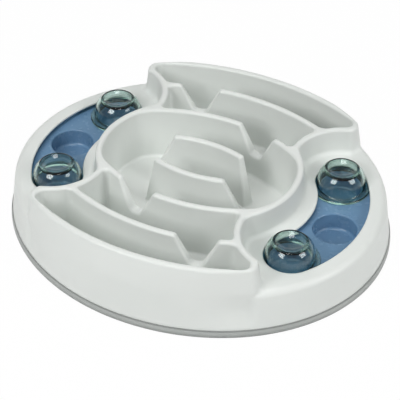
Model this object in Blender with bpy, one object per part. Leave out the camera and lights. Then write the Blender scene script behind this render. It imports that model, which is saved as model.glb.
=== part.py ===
"""Dog puzzle feeder: a moulded maze bowl with two curved tracks of sliding treat covers.

The long axis is X and the object stands on Z = 0 with its origin under the bowl's middle.
Everything on the left is the right-hand side turned half a turn about Z.
"""

import math

import bmesh
import bpy
from mathutils import Matrix

# Overall sizes, in metres
BASE_LENGTH = 0.400
BASE_WIDTH = 0.349
RIM_HEIGHT = 0.076
DECK_HEIGHT = 0.0484
FLOOR_HEIGHT = 0.019

# Moulded shell
SKIN = 0.0028
SKIRT_SLOPE = 0.14
SKIRT_FOOT = 0.0023
DECK_EDGE_ROUND = 0.006
WALL = 0.0064
WALL_ROUND = 0.0024
WALL_DRAFT = 0.06
END_DRAFT = 0.12
FLOOR_ROUND = 0.007
CORE_TOP = 0.054
FIT_GAP = 0.0003

# Maze plan: the pitches run from wall centre to wall centre along Y
RIM_SETBACK = 0.0145
BOWL_FALL = 0.03527
ARM_PITCH = 0.0403
GATE_PITCH = 0.0453
LOBE_BULGE = 0.0091
TIP_SETBACK = 0.0005
NOSE_ROUND = 0.009
NOSE_INNER_ROUND = 0.006
NOSE_SETBACK = 0.0297
NOSE_LEAN = math.radians(21)
ARM_TIP_ROUND = 0.008
JUNCTION_ROUND = 0.012
CHANNEL_CORNER = 0.005
NECK_ROUND = 0.015
BOWL_CORNER = 0.028
MIN_CORNER = 0.0005

# Islands in the bowl
ISLAND_REACH = 0.0267
ISLAND_RADIUS = 0.118
ISLAND_HALF_LENGTH = 0.038
ISLAND_RAMP = 0.45
ISLAND_STEEP_END = 0.2
ISLAND_CORNER = 0.0025

# V-shaped gateways in the walls
NOTCH_WIDTH = 0.0424
NOTCH_DEPTH = 0.032
NOTCH_SLOPE = 0.5
NOTCH_ROUND = 0.004
NOTCH_EDGE = 0.002
NOTCH_HALF_LENGTH = 0.012
GATE_OFFSET = 0.0341
GAP_OFFSET = 0.054

# Curved tracks
TRACK_RADIUS = 0.105
WELL_SPACING = 0.0662
OUTER_LAND = 0.0242
SLOT_WIDTH = 0.052
SLOT_ROUND = 0.0012
LAND = 0.0203
RECESS_MARGIN = 0.024
RECESS_SHIFT = 0.0024

# Trays
TRAY_DROP = 0.0074
TRAY_SKIN = 0.0025
TRACK_WALL = 0.0025
WELL_RADIUS = 0.022
WELL_DEPTH = 0.0185
WELL_DRAFT = 0.04
WELL_LIP = 0.0015
WELL_FLOOR_ROUND = 0.003
EAR_RADIUS = 0.0042

# Covers
COVER_SKIN = 0.002
COVER_CLEARANCE = 0.0018
FLANGE_CATCH = 0.0035
FLANGE_THICKNESS = 0.0026
FLANGE_CLEARANCE = 0.0006
COVER_HEIGHT = 0.0212
COVER_TOP_INSET = 0.0066
DISH_RADIUS = 0.0155
DISH_DEPTH = 0.0065
DISH_DRAFT = 0.0025

# Screws and bosses
SCREW_RADIUS = 0.0012
SCREW_HEAD_RADIUS = 0.0032
SCREW_HEAD_HEIGHT = 0.0018
SCREW_BITE = 0.0042
BOSS_RADIUS = 0.0032

# Non-slip ring
RING_PROUD = 0.0008
RING_HEIGHT = 0.006
RING_TOE = 0.004
RING_TOE_ROUND = 0.0025

# Facet sizes
FACET = 0.014
CORNER_FACET = 0.007
ELLIPSE_STEPS = 60
TRACK_STEPS = 10
TURN_STEPS = 18
WELL_STEPS = 16
BOSS_STEPS = 8
SCREW_STEPS = 8
FAR = 5.0
WELD = 0.000005

# Sizes that follow
RING_A = BASE_LENGTH / 2
RING_B = BASE_WIDTH / 2
SKIRT_A = RING_A - RING_PROUD
SKIRT_B = RING_B - RING_PROUD
DECK_A = SKIRT_A - SKIRT_SLOPE * DECK_HEIGHT
DECK_B = SKIRT_B - SKIRT_SLOPE * DECK_HEIGHT
RIM_REACH = SKIRT_B - RIM_SETBACK
ARM_WALL_REACH = RIM_REACH - WALL / 2 - ARM_PITCH
BOWL_REACH = ARM_WALL_REACH - GATE_PITCH
TRACK_PITCH = WELL_SPACING / TRACK_RADIUS
EAR_ANGLE = TRACK_PITCH / 2
TRACK_REACH = BASE_LENGTH / 2 - OUTER_LAND - SLOT_WIDTH / 2
TRACK_CENTRE = TRACK_REACH - TRACK_RADIUS
LOBE_REACH = TRACK_REACH - SLOT_WIDTH / 2 - LAND
LOBE_RADIUS = BOWL_REACH + LOBE_BULGE
LOBE_CENTRE = LOBE_REACH - LOBE_RADIUS
RECESS_RADIUS = SLOT_WIDTH / 2 + RECESS_MARGIN
RECESS_X = TRACK_CENTRE + TRACK_RADIUS * math.cos(TRACK_PITCH) + RECESS_SHIFT
RECESS_Y = TRACK_RADIUS * math.sin(TRACK_PITCH)
TIP_X = RECESS_X - RECESS_RADIUS / 3
DECK_FALL = DECK_B * (1 - math.sqrt(1 - (TIP_X / DECK_A) ** 2))
DECK_RADIUS = (TIP_X ** 2 + DECK_FALL ** 2) / (2 * DECK_FALL)
RIM_FALL = RIM_REACH - DECK_B + DECK_FALL + TIP_SETBACK
RIM_RADIUS = (TIP_X ** 2 + RIM_FALL ** 2) / (2 * RIM_FALL)
TIP_WIDTH = RIM_REACH - RIM_FALL - RECESS_Y - math.sqrt(RECESS_RADIUS ** 2 - (RECESS_X - TIP_X) ** 2)
NOSE_CORNER = min(NOSE_ROUND, 0.4 * TIP_WIDTH)
NOSE_INNER_CORNER = min(NOSE_INNER_ROUND, 0.26 * TIP_WIDTH)
RIM_CENTRE = RIM_RADIUS - RIM_REACH
ARM_ARC = (RIM_CENTRE, RIM_CENTRE + ARM_WALL_REACH)
BOWL_ARC_RADIUS = (LOBE_REACH ** 2 + BOWL_FALL ** 2) / (2 * BOWL_FALL)
BOWL_ARC = (BOWL_ARC_RADIUS - BOWL_REACH, BOWL_ARC_RADIUS)
TRAY_TOP = DECK_HEIGHT - TRAY_DROP
TRACK_ROOF = DECK_HEIGHT - SKIN
COVER_RADIUS = SLOT_WIDTH / 2 - COVER_CLEARANCE
FLANGE_RADIUS = SLOT_WIDTH / 2 + FLANGE_CATCH
TRACK_HALF = FLANGE_RADIUS + FLANGE_CLEARANCE
TRAY_HALF = TRACK_HALF + TRACK_WALL
EAR_OFFSET = TRAY_HALF + BOSS_RADIUS + FIT_GAP
EAR_RADII = (TRACK_RADIUS - EAR_OFFSET, TRACK_RADIUS + EAR_OFFSET)
HALF_TURN = Matrix.Rotation(math.pi, 4, "Z")


# Plan outlines: circular sides joined by rounded corners


class Side:
    """One circular side of an outline.

    inside says that the region lies within the circle. corner is the radius of the corner
    to the next side, negative where the region turns round an outside corner, and near is
    a point close to it. draft says how far the face moves out as it goes down, and slide
    and swell how the circle's centre and radius change with it.
    """

    def __init__(self, centre, radius, inside, corner, near, draft, slide=0.0, swell=0.0):
        self.centre = centre
        self.radius = radius
        self.sign = 1 if inside else -1
        self.corner = corner
        self.near = near
        self.draft = draft
        self.slide = slide
        self.swell = swell


def straight(point, normal, corner, near, draft):
    """A straight side through a point, with the region behind the normal."""
    centre = (point[0] - normal[0] * FAR, point[1] - normal[1] * FAR)
    return Side(centre, FAR, True, corner, near, draft)


def meet(centre_a, reach_a, centre_b, reach_b, near):
    """The crossing of two circles that lies closest to a point."""
    dx = centre_b[0] - centre_a[0]
    dy = centre_b[1] - centre_a[1]
    gap = math.hypot(dx, dy)
    along = (reach_a ** 2 - reach_b ** 2 + gap ** 2) / (2 * gap)
    across = math.sqrt(max(reach_a ** 2 - along ** 2, 0.0))
    ux, uy = dx / gap, dy / gap
    foot_x = centre_a[0] + along * ux
    foot_y = centre_a[1] + along * uy
    points = [(foot_x - s * across * uy, foot_y + s * across * ux) for s in (1, -1)]
    return min(points, key=lambda p: math.dist(p, near))


def sweep(centre, start, end, turn):
    """Start angle and signed sweep of an arc from one point to another."""
    a0 = math.atan2(start[1] - centre[1], start[0] - centre[0])
    a1 = math.atan2(end[1] - centre[1], end[0] - centre[0])
    span = (a1 - a0) * turn % (2 * math.pi)
    return a0, span * turn


def on_side(centre, radius, point):
    """The point of a circle that lies towards, or behind, another point."""
    scale = radius / math.dist(centre, point)
    return tuple(c + (p - c) * scale for c, p in zip(centre, point))


def arcs_of(sides, grow=0.0, drop=0.0):
    """The arcs round an outline that has grown outwards and gone down its drafted faces."""
    out = [grow + drop * s.draft for s in sides]
    radii = [s.radius + s.sign * o + drop * s.swell for s, o in zip(sides, out)]
    centres = [(s.centre[0], s.centre[1] + drop * s.slide) for s in sides]
    corners = []
    for i, side in enumerate(sides):
        j = (i + 1) % len(sides)
        turn = math.copysign(1, side.corner)
        moved = min(out[i], out[j]) if turn > 0 else -max(out[i], out[j])
        size = max(abs(side.corner) + moved, MIN_CORNER)
        reach_a = radii[i] - side.sign * turn * size
        reach_b = radii[j] - sides[j].sign * turn * size
        middle = meet(centres[i], reach_a, centres[j], reach_b, side.near)
        corners.append((middle, size, turn))
    arcs = []
    for i, side in enumerate(sides):
        j = (i + 1) % len(sides)
        middle, size, turn = corners[i]
        start = on_side(centres[i], radii[i], corners[i - 1][0])
        end = on_side(centres[i], radii[i], middle)
        leave = on_side(centres[j], radii[j], middle)
        arcs.append((centres[i], radii[i], *sweep(centres[i], start, end, side.sign)))
        arcs.append((middle, size, *sweep(middle, end, leave, turn)))
    return arcs


def outline_loops(sides, levels):
    """Matching point loops of one outline at several (z, grow, drop) levels."""
    counts = []
    for index, (_centre, radius, _start, span) in enumerate(arcs_of(sides)):
        longest, fewest = (CORNER_FACET, 2) if index % 2 else (FACET, 1)
        counts.append(max(math.ceil(abs(span) * radius / longest), fewest))
    loops = []
    for z, grow, drop in levels:
        loop = []
        for (centre, radius, start, span), count in zip(arcs_of(sides, grow, drop), counts):
            for k in range(count):
                angle = start + span * k / count
                loop.append((centre[0] + radius * math.cos(angle), centre[1] + radius * math.sin(angle), z))
        loops.append(loop)
    return loops


def ellipse_loop(a, b, z):
    """One horizontal ellipse."""
    angles = [2 * math.pi * k / ELLIPSE_STEPS for k in range(ELLIPSE_STEPS)]
    return [(a * math.cos(t), b * math.sin(t), z) for t in angles]


def track_place(angle, radius=TRACK_RADIUS):
    """A point on the right-hand track, by its angle about the track's centre."""
    return (TRACK_CENTRE + radius * math.cos(angle), radius * math.sin(angle))


def track_loop(half_width, z):
    """A curved slot of constant width with round ends, along the right-hand track."""
    loop = []
    for radius, turn in ((TRACK_RADIUS + half_width, 1), (TRACK_RADIUS - half_width, -1)):
        for k in range(TRACK_STEPS):
            angle = turn * TRACK_PITCH * (2 * k / TRACK_STEPS - 1)
            loop.append((*track_place(angle, radius), z))
        end = turn * TRACK_PITCH
        centre = track_place(end)
        first = end if turn > 0 else end + math.pi
        for k in range(TRACK_STEPS):
            angle = first + math.pi * k / TRACK_STEPS
            x = centre[0] + half_width * math.cos(angle)
            y = centre[1] + half_width * math.sin(angle)
            loop.append((x, y, z))
    return loop


# Solids


def finish_mesh(bm, name):
    """Turn a bmesh into a smooth-shaded object with its faces pointing out."""
    bmesh.ops.recalc_face_normals(bm, faces=bm.faces)
    mesh = bpy.data.meshes.new(name)
    bm.to_mesh(mesh)
    bm.free()
    mesh.shade_smooth()
    mesh.set_sharp_from_angle(angle=math.radians(35))
    obj = bpy.data.objects.new(name, mesh)
    bpy.context.scene.collection.objects.link(obj)
    return obj


def loft(name, loops):
    """A closed solid through matching loops, capped at both ends."""
    bm = bmesh.new()
    rings = [[bm.verts.new(p) for p in loop] for loop in loops]
    for low, high in zip(rings, rings[1:]):
        for k in range(len(low)):
            n = (k + 1) % len(low)
            bm.faces.new((low[k], low[n], high[n], high[k]))
    bm.faces.new(rings[0])
    bm.faces.new(rings[-1])
    return finish_mesh(bm, name)


def ring_loft(name, loops):
    """A closed ring through loops that run round its section."""
    bm = bmesh.new()
    rings = [[bm.verts.new(p) for p in loop] for loop in loops]
    for low, high in zip(rings, rings[1:] + rings[:1]):
        for k in range(len(low)):
            n = (k + 1) % len(low)
            bm.faces.new((low[k], low[n], high[n], high[k]))
    return finish_mesh(bm, name)


def turned(name, profile, steps, place=(0.0, 0.0)):
    """A solid of revolution whose profile starts and ends on its own vertical axis."""
    bm = bmesh.new()
    rings = []
    for radius, z in profile:
        if radius == 0:
            rings.append([bm.verts.new((*place, z))])
            continue
        angles = [2 * math.pi * k / steps for k in range(steps)]
        points = [(place[0] + radius * math.cos(t), place[1] + radius * math.sin(t), z) for t in angles]
        rings.append([bm.verts.new(p) for p in points])
    for a, b in zip(rings, rings[1:]):
        for k in range(steps):
            n = (k + 1) % steps
            corners = [a[k % len(a)], a[n % len(a)], b[n % len(b)], b[k % len(b)]]
            bm.faces.new(list(dict.fromkeys(corners)))
    return finish_mesh(bm, name)


def post(name, radius, low, high, place, steps=BOSS_STEPS):
    """A plain upright cylinder."""
    return turned(name, [(0, low), (radius, low), (radius, high), (0, high)], steps, place)


def weld(mesh):
    """Close the hairline splits that a cut can leave."""
    bm = bmesh.new()
    bm.from_mesh(mesh)
    bmesh.ops.remove_doubles(bm, verts=bm.verts, dist=WELD)
    bmesh.ops.dissolve_degenerate(bm, edges=bm.edges, dist=WELD)
    bm.to_mesh(mesh)
    bm.free()


def combine(target, tools, operation):
    """Cut the tools from the target, or fuse them to it, and remove them."""
    for tool in tools:
        step = target.modifiers.new(tool.name, "BOOLEAN")
        step.operation = operation
        step.object = tool
        step.solver = "EXACT"
        graph = bpy.context.evaluated_depsgraph_get()
        mesh = bpy.data.meshes.new_from_object(target.evaluated_get(graph))
        target.modifiers.clear()
        weld(mesh)
        old = target.data
        target.data = mesh
        bpy.data.meshes.remove(old)
        bpy.data.objects.remove(tool)
    return target


def cut(target, *tools):
    return combine(target, tools, "DIFFERENCE")


def fuse(target, *tools):
    return combine(target, tools, "UNION")


def half_turn_copy(obj, name):
    """The same solid turned half a turn about the middle of the object."""
    copy = obj.copy()
    copy.name = name
    copy.data = obj.data.copy()
    copy.data.transform(HALF_TURN)
    bpy.context.scene.collection.objects.link(copy)
    return copy


def both_ways(obj):
    """A tool and its half-turn copy."""
    return obj, half_turn_copy(obj, obj.name + "_turned")


# The plan of the maze


def nose_side(sx, sy, corner, near):
    """The flat end face of one arm's nose, in the quarter given by the two signs."""
    normal = (sx * math.cos(NOSE_LEAN), -sy * math.sin(NOSE_LEAN))
    point = (sx * RECESS_X - NOSE_SETBACK * normal[0], sy * RECESS_Y - NOSE_SETBACK * normal[1])
    return straight(point, normal, corner, near, END_DRAFT)


def block_sides():
    """The raised block: two crescent arms and the bowl's two round lobes."""
    tip = (RECESS_X - NOSE_CORNER, RECESS_Y + RECESS_RADIUS + NOSE_CORNER)
    nose = (TIP_X, RECESS_Y + RECESS_RADIUS)
    neck = (RECESS_X - RECESS_RADIUS, RECESS_Y)
    height = RIM_HEIGHT - DECK_HEIGHT
    swell = (DECK_RADIUS - RIM_RADIUS) / height
    slide = (DECK_RADIUS - DECK_B - RIM_CENTRE) / height
    sides = []
    for s in (1, -1):
        sides += [
            Side((0.0, s * RIM_CENTRE), RIM_RADIUS, True, NOSE_CORNER, (s * tip[0], -s * tip[1]),
                 0.0, s * slide, swell),
            nose_side(s, -s, NOSE_INNER_CORNER, (s * nose[0], -s * nose[1])),
            Side((s * RECESS_X, -s * RECESS_Y), RECESS_RADIUS, False, -NECK_ROUND,
                 (s * neck[0], -s * neck[1]), END_DRAFT),
            Side((s * LOBE_CENTRE, 0.0), LOBE_RADIUS + WALL / 2, True, -NECK_ROUND,
                 (s * neck[0], s * neck[1]), END_DRAFT),
            Side((s * RECESS_X, s * RECESS_Y), RECESS_RADIUS, False, NOSE_INNER_CORNER,
                 (s * nose[0], s * nose[1]), END_DRAFT),
            nose_side(s, s, NOSE_CORNER, (s * tip[0], s * tip[1])),
        ]
    return sides


def bowl_sides():
    """The oval bowl: two round lobes and two flatter arcs."""
    corner = (LOBE_REACH, BOWL_REACH)
    sides = []
    for s in (1, -1):
        front = Side((0.0, s * BOWL_ARC[0]), BOWL_ARC[1] - WALL / 2, True, BOWL_CORNER,
                     (s * corner[0], -s * corner[1]), -WALL_DRAFT)
        lobe = Side((s * LOBE_CENTRE, 0.0), LOBE_RADIUS - WALL / 2, True, BOWL_CORNER,
                    (s * corner[0], s * corner[1]), -WALL_DRAFT)
        sides += [front, lobe]
    return sides


def channel_sides(inner, outer, inner_corner, outer_corner):
    """A front channel between two curved faces, closed by the ends of the arm."""
    end_x = RECESS_X - RECESS_RADIUS
    inner_y = inner[0] - inner[1]
    outer_y = outer[0] - outer[1]
    end = RECESS_RADIUS + WALL
    draft = -WALL_DRAFT
    return [
        Side((0.0, outer[0]), outer[1], True, outer_corner, (end_x, outer_y), draft),
        Side((RECESS_X, -RECESS_Y), end, False, inner_corner, (end_x, inner_y), draft),
        Side((0.0, inner[0]), inner[1], False, inner_corner, (-end_x, inner_y), draft),
        Side((-RECESS_X, -RECESS_Y), end, False, outer_corner, (-end_x, outer_y), draft),
    ]


def outer_channel_sides():
    """The channel along the front rim, which runs out into the arm's two tips."""
    inner = (ARM_ARC[0], ARM_ARC[1] + WALL / 2)
    return channel_sides(inner, (RIM_CENTRE, RIM_RADIUS - WALL), JUNCTION_ROUND, ARM_TIP_ROUND)


def middle_channel_sides():
    """The channel between the front arm's wall and the bowl."""
    inner = (BOWL_ARC[0], BOWL_ARC[1] + WALL / 2)
    outer = (ARM_ARC[0], ARM_ARC[1] - WALL / 2)
    return channel_sides(inner, outer, CHANNEL_CORNER, CHANNEL_CORNER)


def island_sides():
    """The front island: a short arc wall with one ramped end and one steep one."""
    centre = (0.0, ISLAND_RADIUS - ISLAND_REACH)
    sides = [
        Side(centre, ISLAND_RADIUS + WALL / 2, True, ISLAND_CORNER,
             (ISLAND_HALF_LENGTH, -ISLAND_REACH), WALL_DRAFT),
    ]
    lean = ISLAND_HALF_LENGTH / ISLAND_RADIUS
    rise = math.sqrt(1 - lean ** 2)
    for s, slope in ((1, ISLAND_RAMP), (-1, ISLAND_STEEP_END)):
        point = (s * ISLAND_HALF_LENGTH, centre[1] - ISLAND_RADIUS * rise)
        inner = (point[0], point[1] + WALL)
        outer = (point[0], point[1] - WALL)
        sides.append(straight(point, (s * rise, lean), ISLAND_CORNER, inner if s > 0 else outer, slope))
    inner_near = (-ISLAND_HALF_LENGTH, centre[1] - ISLAND_RADIUS * rise + WALL)
    inside_face = Side(centre, ISLAND_RADIUS - WALL / 2, False, ISLAND_CORNER, inner_near, WALL_DRAFT)
    return [sides[0], sides[1], inside_face, sides[2]]


# The shell


def skirt_axes(z, inset=0.0):
    """Semi-axes of the skirt at a height."""
    lean = SKIRT_SLOPE * z + inset
    return SKIRT_A - lean, SKIRT_B - lean


def rounding(radius, steps=2):
    """Inset and drop of points round a quarter turn, from the flat to the wall."""
    angles = [math.pi / 2 * k / steps for k in range(steps + 1)]
    return [(radius * (1 - math.sin(t)), radius * (1 - math.cos(t))) for t in angles]


def base_body():
    """The low elliptical body with its rounded deck edge."""
    loops = [ellipse_loop(*skirt_axes(SKIRT_FOOT), SKIRT_FOOT)]
    for inset, drop in reversed(rounding(DECK_EDGE_ROUND)):
        z = DECK_HEIGHT - drop
        loops.append(ellipse_loop(*skirt_axes(z, inset), z))
    return loft("bowl_shell", loops)


def raised_block():
    """The high block, with a rounded top edge, sunk into the deck and its rounded edge."""
    levels = [(RIM_HEIGHT - drop, -inset, drop) for inset, drop in rounding(WALL_ROUND)]
    for z in (DECK_HEIGHT, DECK_HEIGHT - DECK_EDGE_ROUND):
        levels.append((z, 0.0, RIM_HEIGHT - DECK_HEIGHT))
    return loft("raised_block", outline_loops(block_sides(), levels))


def cavity(name, sides, grow=0.0):
    """A moulded hollow with a rounded mouth and floor, grown by a skin where asked."""
    floor = FLOOR_HEIGHT - grow
    depth = RIM_HEIGHT - floor
    (_, _), (mid_in, mid_drop), (_, _) = rounding(WALL_ROUND)
    over_run = WALL_ROUND - mid_in
    levels = [
        (RIM_HEIGHT + mid_drop, WALL_ROUND + over_run, 0.0),
        (RIM_HEIGHT - mid_drop, mid_in, 0.0),
        (RIM_HEIGHT - WALL_ROUND, 0.0, WALL_ROUND),
    ]
    if grow:
        above = CORE_TOP + WALL
        levels = [(above, grow, RIM_HEIGHT - above)]
    for inset, lift in reversed(rounding(FLOOR_ROUND, 1 if grow else 2)):
        levels.append((floor + lift, grow - inset, depth - lift))
    return loft(name, outline_loops(sides, levels))


def notch(name, arc, offset, skin=0.0):
    """A V-shaped gateway through a front wall, with softened edges."""
    centre_y, radius = arc
    lean = offset / radius
    rise = math.sqrt(1 - lean ** 2)
    place = (offset, centre_y - radius * rise)
    above = 0.003
    depth = NOTCH_DEPTH + skin
    half = NOTCH_WIDTH / 2 + skin
    bottom_half = half - NOTCH_SLOPE * depth
    section = [
        (half + NOTCH_SLOPE * above, above),
        (bottom_half + NOTCH_SLOPE * NOTCH_ROUND, NOTCH_ROUND - depth),
        (bottom_half - NOTCH_ROUND / 2, -depth),
    ]
    section += [(-t, z) for t, z in reversed(section)]
    straight_half = WALL / 2 + WALL_DRAFT * NOTCH_DEPTH - NOTCH_EDGE
    loops = []
    for along in (-NOTCH_HALF_LENGTH, -straight_half, straight_half, NOTCH_HALF_LENGTH):
        flare = 0.0 if skin else abs(along) - straight_half
        loop = []
        for t, z in section:
            wide = t + math.copysign(flare, t)
            low = z - flare if z < 0 else z
            x = place[0] + along * lean + wide * rise
            y = place[1] - along * rise + wide * lean
            loop.append((x, y, RIM_HEIGHT + low))
        loops.append(loop)
    return loft(name, loops)


def island():
    """One island wall, standing on the bowl's floor."""
    levels = [(RIM_HEIGHT - drop, -inset, drop) for inset, drop in rounding(WALL_ROUND)]
    foot = FLOOR_HEIGHT - SKIN / 2
    levels.append((foot, 0.0, RIM_HEIGHT - foot))
    return loft("island", outline_loops(island_sides(), levels))


def island_core():
    """The hollow under an island."""
    low = FLOOR_HEIGHT - 2 * SKIN
    levels = [(z, -SKIN, RIM_HEIGHT - z) for z in (CORE_TOP - SKIN, low)]
    return loft("island_core", outline_loops(island_sides(), levels))


def all_hollows(grow=0.0):
    """The bowl and the four channels."""
    tools = [cavity("bowl_hollow", bowl_sides(), grow)]
    tools += both_ways(cavity("outer_channel", outer_channel_sides(), grow))
    tools += both_ways(cavity("middle_channel", middle_channel_sides(), grow))
    return tools


def all_notches(skin=0.0):
    """The bowl's two gateways and the gaps in the two arm walls."""
    tools = list(both_ways(notch("gateway", BOWL_ARC, -GATE_OFFSET, skin)))
    tools += both_ways(notch("arm_gap", ARM_ARC, GAP_OFFSET, skin))
    return tools


def underside():
    """The space inside the shell, open below, that leaves an even skin everywhere."""
    low = SKIRT_FOOT - SKIN
    top = DECK_HEIGHT - SKIN
    loops = [ellipse_loop(*skirt_axes(low, SKIN), low)]
    for inset, drop in reversed(rounding(DECK_EDGE_ROUND - SKIN)):
        loops.append(ellipse_loop(*skirt_axes(top - drop, SKIN + inset), top - drop))
    body = loft("underside", loops)
    levels = [(z, -SKIN, RIM_HEIGHT - z) for z in (CORE_TOP, DECK_HEIGHT)]
    levels.append((top - SKIN, -SKIN, RIM_HEIGHT - DECK_HEIGHT))
    fuse(body, loft("raised_core", outline_loops(block_sides(), levels)))
    cut(body, *all_hollows(SKIN))
    cut(body, *all_notches(SKIN))
    fuse(body, *both_ways(island_core()))
    return body


def slot():
    """The curved opening in the right-hand deck, with a softened upper edge."""
    half = SLOT_WIDTH / 2
    levels = [
        (DECK_HEIGHT + SLOT_ROUND, half + 2 * SLOT_ROUND),
        (DECK_HEIGHT - SLOT_ROUND, half),
        (DECK_HEIGHT - 2 * SKIN, half),
    ]
    return loft("slot", [track_loop(width, z) for z, width in levels])


def screw_places():
    """The four screws of the right-hand tray."""
    return [track_place(side * EAR_ANGLE, radius) for radius in EAR_RADII for side in (-1, 1)]


def bosses():
    """Posts under the right-hand deck that the tray's screws bite into."""
    tools = []
    for index, place in enumerate(screw_places()):
        low = TRAY_TOP + FIT_GAP
        tools.append(post(f"boss_{index}", BOSS_RADIUS, low, TRACK_ROOF + FIT_GAP, place))
    return tools


def boss_holes():
    """Pilot holes up the bosses."""
    low = TRAY_TOP - FIT_GAP
    high = TRAY_TOP + SCREW_BITE
    places = enumerate(screw_places())
    return [post(f"hole_{i}", SCREW_RADIUS + FIT_GAP, low, high, p) for i, p in places]


def make_shell():
    """The one-piece moulded shell."""
    shell = fuse(base_body(), raised_block())
    cut(shell, *all_hollows())
    fuse(shell, *both_ways(island()))
    cut(shell, *all_notches())
    cut(shell, underside())
    cut(shell, *both_ways(slot()))
    for boss in bosses():
        fuse(shell, *both_ways(boss))
    for hole in boss_holes():
        cut(shell, *both_ways(hole))
    return shell


# The other pieces


def make_ring():
    """The soft ring that grips the skirt's edge and meets the floor."""
    inner = -SKIN - RING_TOE
    ledge = SKIRT_FOOT - FIT_GAP
    section = [
        (RING_PROUD - RING_TOE_ROUND, 0.0), (RING_PROUD - 0.3 * RING_TOE_ROUND, 0.3 * RING_TOE_ROUND),
        (RING_PROUD, RING_TOE_ROUND), (RING_PROUD, RING_HEIGHT - RING_PROUD), (RING_PROUD / 2, RING_HEIGHT),
        (FIT_GAP, RING_HEIGHT), (FIT_GAP, ledge), (inner, ledge), (inner, 0.0),
    ]
    loops = []
    for out, z in section:
        a, b = skirt_axes(z, -out)
        loops.append(ellipse_loop(a, b, z))
    return ring_loft("non_slip_ring", loops)


def well(place, grow=0.0):
    """One round well, or its cup when grown by a skin."""
    low = TRAY_TOP - WELL_DEPTH - grow
    radius = WELL_RADIUS + grow
    foot = radius - WELL_DRAFT * WELL_DEPTH
    if grow:
        profile = [(0, low), (foot, low), (radius, TRAY_TOP - TRAY_SKIN / 2), (0, TRAY_TOP - TRAY_SKIN / 2)]
        return turned("cup", profile, WELL_STEPS, place)
    (_, _), (mid_in, mid_up), (_, _) = rounding(WELL_FLOOR_ROUND)
    profile = [(0, low), (foot - WELL_FLOOR_ROUND, low), (foot - mid_in, low + mid_up)]
    profile += [(foot, low + WELL_FLOOR_ROUND), (radius, TRAY_TOP - WELL_LIP)]
    profile += [(radius + 2 * WELL_LIP, TRAY_TOP + WELL_LIP), (0, TRAY_TOP + WELL_LIP)]
    return turned("well", profile, WELL_STEPS, place)


def make_tray(name):
    """The right-hand tray: a walled track floor with three cups and four screw ears."""
    low = TRAY_TOP - TRAY_SKIN
    tray = loft(name, [track_loop(TRAY_HALF, z) for z in (low, TRACK_ROOF - FIT_GAP)])
    for place in screw_places():
        fuse(tray, post("ear", EAR_RADIUS, low, TRAY_TOP - FIT_GAP / 2, place))
    wells = [track_place(k * TRACK_PITCH) for k in (-1, 0, 1)]
    for place in wells:
        fuse(tray, well(place, TRAY_SKIN))
    cut(tray, loft("track", [track_loop(TRACK_HALF, z) for z in (TRAY_TOP, DECK_HEIGHT)]))
    for place in wells:
        cut(tray, well(place))
    for place in screw_places():
        cut(tray, post("screw_hole", SCREW_RADIUS + FIT_GAP, low - SKIN, TRAY_TOP + SKIN, place))
    return tray


def cover_profile():
    """Half section of a cover, from the middle of its dish round to the middle of its roof."""
    base = TRAY_TOP + FIT_GAP
    top = base + COVER_HEIGHT
    dish = top - DISH_DEPTH
    flange_top = base + FLANGE_THICKNESS
    rise = top - flange_top
    skin = COVER_SKIN

    def dome(inset, height):
        return (COVER_RADIUS - inset * COVER_TOP_INSET, flange_top + height * rise)

    def inside(point, across, down):
        return (point[0] - across * skin, point[1] - down * skin)

    foot, lower, middle = dome(0.0, 0.0), dome(0.15, 0.33), dome(0.33, 0.70)
    upper, rim = dome(0.64, 0.935), dome(1.0, 1.0)
    dish_foot = DISH_RADIUS - DISH_DRAFT
    roof = upper[1] - 0.75 * skin
    return [
        (0, dish), (dish_foot - skin, dish), (dish_foot, dish + 0.6 * skin),
        (DISH_RADIUS, top - 0.3 * skin), (DISH_RADIUS + 0.3 * skin, top),
        rim, upper, middle, lower, foot, (FLANGE_RADIUS, flange_top), (FLANGE_RADIUS, base),
        (foot[0] - skin, base), inside(lower, 1.0, 0.0), inside(middle, 0.96, 0.27),
        inside(upper, 0.78, 0.75), (DISH_RADIUS + 0.55 * skin, roof),
        (dish_foot + 0.8 * skin, dish - 0.4 * skin), (dish_foot - 0.4 * skin, dish - skin), (0, dish - skin),
    ]


def make_cover(name, end):
    """A clear cover over one end well of the right-hand track, turned from its section."""
    place = track_place(end * TRACK_PITCH)
    return turned(name, cover_profile(), TURN_STEPS, place)


def make_screw(name, place):
    """A pan-head screw that holds one ear of a tray up to its boss."""
    seat = TRAY_TOP - TRAY_SKIN - FIT_GAP
    low = seat - SCREW_HEAD_HEIGHT
    tip = TRAY_TOP + SCREW_BITE - FIT_GAP
    profile = [
        (0, low), (0.7 * SCREW_HEAD_RADIUS, low), (SCREW_HEAD_RADIUS, low + 0.6 * SCREW_HEAD_HEIGHT),
        (SCREW_HEAD_RADIUS, seat), (SCREW_RADIUS, seat), (SCREW_RADIUS, tip - SCREW_RADIUS), (0, tip),
    ]
    return turned(name, profile, SCREW_STEPS, place)


# Finish


def finish_material(name, colour, roughness, metallic=0.0, see_through=0.0):
    """A Principled material."""
    material = bpy.data.materials.new(name)
    material.use_nodes = True
    shader = material.node_tree.nodes["Principled BSDF"]
    shader.inputs["Base Color"].default_value = (*colour, 1.0)
    shader.inputs["Roughness"].default_value = roughness
    shader.inputs["Metallic"].default_value = metallic
    shader.inputs["Transmission Weight"].default_value = see_through
    return material


def dress(obj, material):
    """Give an object one material."""
    obj.data.materials.clear()
    obj.data.materials.append(material)


def pivot_at(obj, x):
    """Hang a moving piece on an empty that stands on its hinge axis."""
    pivot = bpy.data.objects.new(obj.name + "_axis", None)
    bpy.context.scene.collection.objects.link(pivot)
    pivot.location = (x, 0.0, TRAY_TOP)
    bpy.context.view_layer.update()
    obj.parent = pivot
    obj.matrix_parent_inverse = pivot.matrix_world.inverted()


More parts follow.
